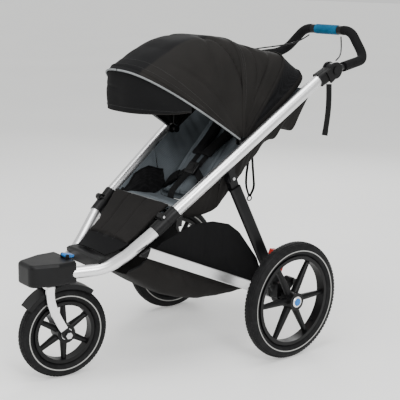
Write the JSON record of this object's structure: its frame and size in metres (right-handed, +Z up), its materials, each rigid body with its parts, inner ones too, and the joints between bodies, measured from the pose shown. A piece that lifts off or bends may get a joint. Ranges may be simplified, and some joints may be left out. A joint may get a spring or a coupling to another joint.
{
  "type": "jogging stroller",
  "caption": "Jogging stroller with a swivelling front wheel, folding tube frame, canopy with visor, reclining seat, basket and tilting handlebar.",
  "frame": {"origin": "on the floor, under the middle of the stroller's overall width and length", "axes": "+Z up, the stroller faces -Y, +X is its own left side"},
  "size_m": [0.718, 1.3254, 1.092],
  "materials": {
    "anodised": "satin anodised",
    "black_metal": "satin powder coat",
    "steel": "brushed",
    "black_plastic": "fine moulded grain",
    "blue_plastic": "smooth",
    "tyre": "matt",
    "foam": "closed-cell foam",
    "grip": "soft rubber",
    "charcoal_cloth": "plain weave",
    "black_cloth": "plain weave",
    "grey_cloth": "plain weave",
    "webbing": "woven webbing",
    "cable_sleeve": "smooth",
    "red_plastic": "smooth"
  },
  "bodies": {
    "front_frame": {"lower_tube_left": "anodised", "lower_tube_right": "anodised", "nose_housing": "black_plastic", "swivel_bearings": "steel", "lower_knuckles": "black_plastic", "fold_pins": "steel", "footrest": "black_plastic", "leg_panel": "charcoal_cloth"},
    "swivel_fork": {"fork": "anodised", "fork_dropouts": "black_plastic", "front_axle": "steel", "front_fender": "black_plastic"},
    "front_wheel": {"front_tyre": "tyre", "front_wheel_rim": "black_plastic", "front_bearings": "steel"},
    "swivel_lock": {"swivel_lock_lever": "blue_plastic"},
    "upper_frame": {"upper_tube_left": "anodised", "upper_tube_right": "anodised", "upper_knuckles": "black_plastic", "leg_brackets": "black_metal", "leg_pins": "steel", "seat_cross_tube": "black_metal", "seat_base": "black_cloth", "handle_hubs": "black_plastic", "canopy_rear_bow": "black_metal", "canopy_rear_sheet": "black_cloth", "wrist_strap": "webbing"},
    "handlebar": {"handlebar_tube": "black_metal", "handle_foam": "foam", "release_cables": "cable_sleeve"},
    "grip": {"twist_grip": "grip"},
    "adjuster_left": {"hub_button_left": "black_plastic"},
    "adjuster_right": {"hub_button_right": "black_plastic"},
    "rear_legs": {"rear_leg_left": "black_metal", "rear_leg_right": "black_metal", "axle_blocks": "black_plastic", "rear_axle_tube": "black_metal", "stub_axles": "steel"},
    "brake": {"brake_shaft": "black_metal", "brake_pedal": "red_plastic"},
    "rails": {"lower_rails": "anodised", "rail_connectors": "black_plastic", "basket": "charcoal_cloth"},
    "rear_wheel_left": {"rear_tyre_left": "tyre", "rear_wheel_rim_left": "black_plastic", "rear_bearing_left": "steel", "rear_hub_ring_left": "anodised"},
    "rear_wheel_right": {"rear_tyre_right": "tyre", "rear_wheel_rim_right": "black_plastic", "rear_bearing_right": "steel", "rear_hub_ring_right": "anodised"},
    "release_left": {"release_button_left": "blue_plastic"},
    "release_right": {"release_button_right": "blue_plastic"},
    "canopy_front": {"canopy_front_sheet": "charcoal_cloth", "canopy_front_bow": "black_metal"},
    "canopy_middle": {"canopy_middle_sheet": "charcoal_cloth", "canopy_middle_bow": "black_metal"},
    "visor_panel": {"visor": "charcoal_cloth"},
    "backrest": {"seat_back": "grey_cloth", "harness_straps": "webbing"}
  },
  "joints": [
    {"name": "front_swivel", "type": "hinge", "parent": "front_frame", "child": "swivel_fork", "pos_m": [0, -0.56978, 0], "axis": [0, 0, 1], "continuous": true},
    {"name": "front_wheel_spin", "type": "hinge", "parent": "swivel_fork", "child": "front_wheel", "pos_m": [0.00689, -0.51521, 0.148], "axis": [0.9921, -0.1253, 0], "continuous": true},
    {"name": "swivel_lock_tilt", "type": "hinge", "parent": "front_frame", "child": "swivel_lock", "pos_m": [0, -0.51178, 0.4], "axis": [1, 0, 0], "range_deg": [0, 25]},
    {"name": "frame_fold", "type": "hinge", "parent": "front_frame", "child": "upper_frame", "pos_m": [0, -0.25436, 0.51917], "axis": [1, 0, 0], "range_deg": [0, 155], "deforming": ["canopy_front_sheet", "canopy_front_bow", "canopy_middle_sheet", "canopy_middle_bow", "visor", "basket", "wrist_strap"]},
    {"name": "leg_fold", "type": "hinge", "parent": "upper_frame", "child": "rear_legs", "pos_m": [0, 0.00322, 0.617], "axis": [1, 0, 0], "range_deg": [0, 88]},
    {"name": "rail_fold", "type": "hinge", "parent": "rear_legs", "child": "rails", "pos_m": [0, 0.18022, 0.2], "axis": [1, 0, 0], "range_deg": [-35, 0]},
    {"name": "handlebar_tilt", "type": "hinge", "parent": "upper_frame", "child": "handlebar", "pos_m": [0, 0.39122, 0.955], "axis": [1, 0, 0], "range_deg": [-40, 45]},
    {"name": "grip_twist", "type": "hinge", "parent": "handlebar", "child": "grip", "pos_m": [0, 0.64522, 1.074], "axis": [1, 0, 0], "range_deg": [0, 30], "stiffness_Nm_per_rad": 0.5},
    {"name": "adjuster_left_press", "type": "slide", "parent": "upper_frame", "child": "adjuster_left", "axis": [-1, 0, 0], "range_m": [0, 0.002], "stiffness_N_per_m": 400},
    {"name": "adjuster_right_press", "type": "slide", "parent": "upper_frame", "child": "adjuster_right", "axis": [1, 0, 0], "range_m": [0, 0.002], "stiffness_N_per_m": 400},
    {"name": "brake_rock", "type": "hinge", "parent": "rear_legs", "child": "brake", "pos_m": [0, 0.22022, 0.25], "axis": [1, 0, 0], "range_deg": [-7, 0]},
    {"name": "rear_wheel_left_spin", "type": "hinge", "parent": "rear_legs", "child": "rear_wheel_left", "pos_m": [0, 0.18022, 0.2], "axis": [1, 0, 0], "continuous": true},
    {"name": "rear_wheel_right_spin", "type": "hinge", "parent": "rear_legs", "child": "rear_wheel_right", "pos_m": [0, 0.18022, 0.2], "axis": [1, 0, 0], "continuous": true},
    {"name": "release_left_press", "type": "slide", "parent": "rear_wheel_left", "child": "release_left", "axis": [-1, 0, 0], "range_m": [0, 0.003], "stiffness_N_per_m": 400},
    {"name": "release_right_press", "type": "slide", "parent": "rear_wheel_right", "child": "release_right", "axis": [1, 0, 0], "range_m": [0, 0.003], "stiffness_N_per_m": 400},
    {"name": "canopy_fold", "type": "hinge", "parent": "upper_frame", "child": "canopy_front", "pos_m": [0, 0.06722, 0.726], "axis": [1, 0, 0], "range_deg": [-55, 0]},
    {"name": "canopy_middle_fold", "type": "hinge", "parent": "upper_frame", "child": "canopy_middle", "pos_m": [0, 0.06722, 0.726], "axis": [1, 0, 0], "range_deg": [-22, 0]},
    {"name": "visor_tilt", "type": "hinge", "parent": "canopy_front", "child": "visor_panel", "pos_m": [0, -0.08978, 0.858], "axis": [1, 0, 0], "range_deg": [-27, 0]},
    {"name": "seat_recline", "type": "hinge", "parent": "upper_frame", "child": "backrest", "pos_m": [0, -0.04578, 0.5], "axis": [1, 0, 0], "range_deg": [-10, 8]}
  ],
  "couplings": [
    {"joint": "leg_fold", "follows": "frame_fold", "ratio": 0.56774},
    {"joint": "rail_fold", "follows": "frame_fold", "ratio": -0.22581},
    {"joint": "canopy_middle_fold", "follows": "canopy_fold", "ratio": 0.4}
  ]
}
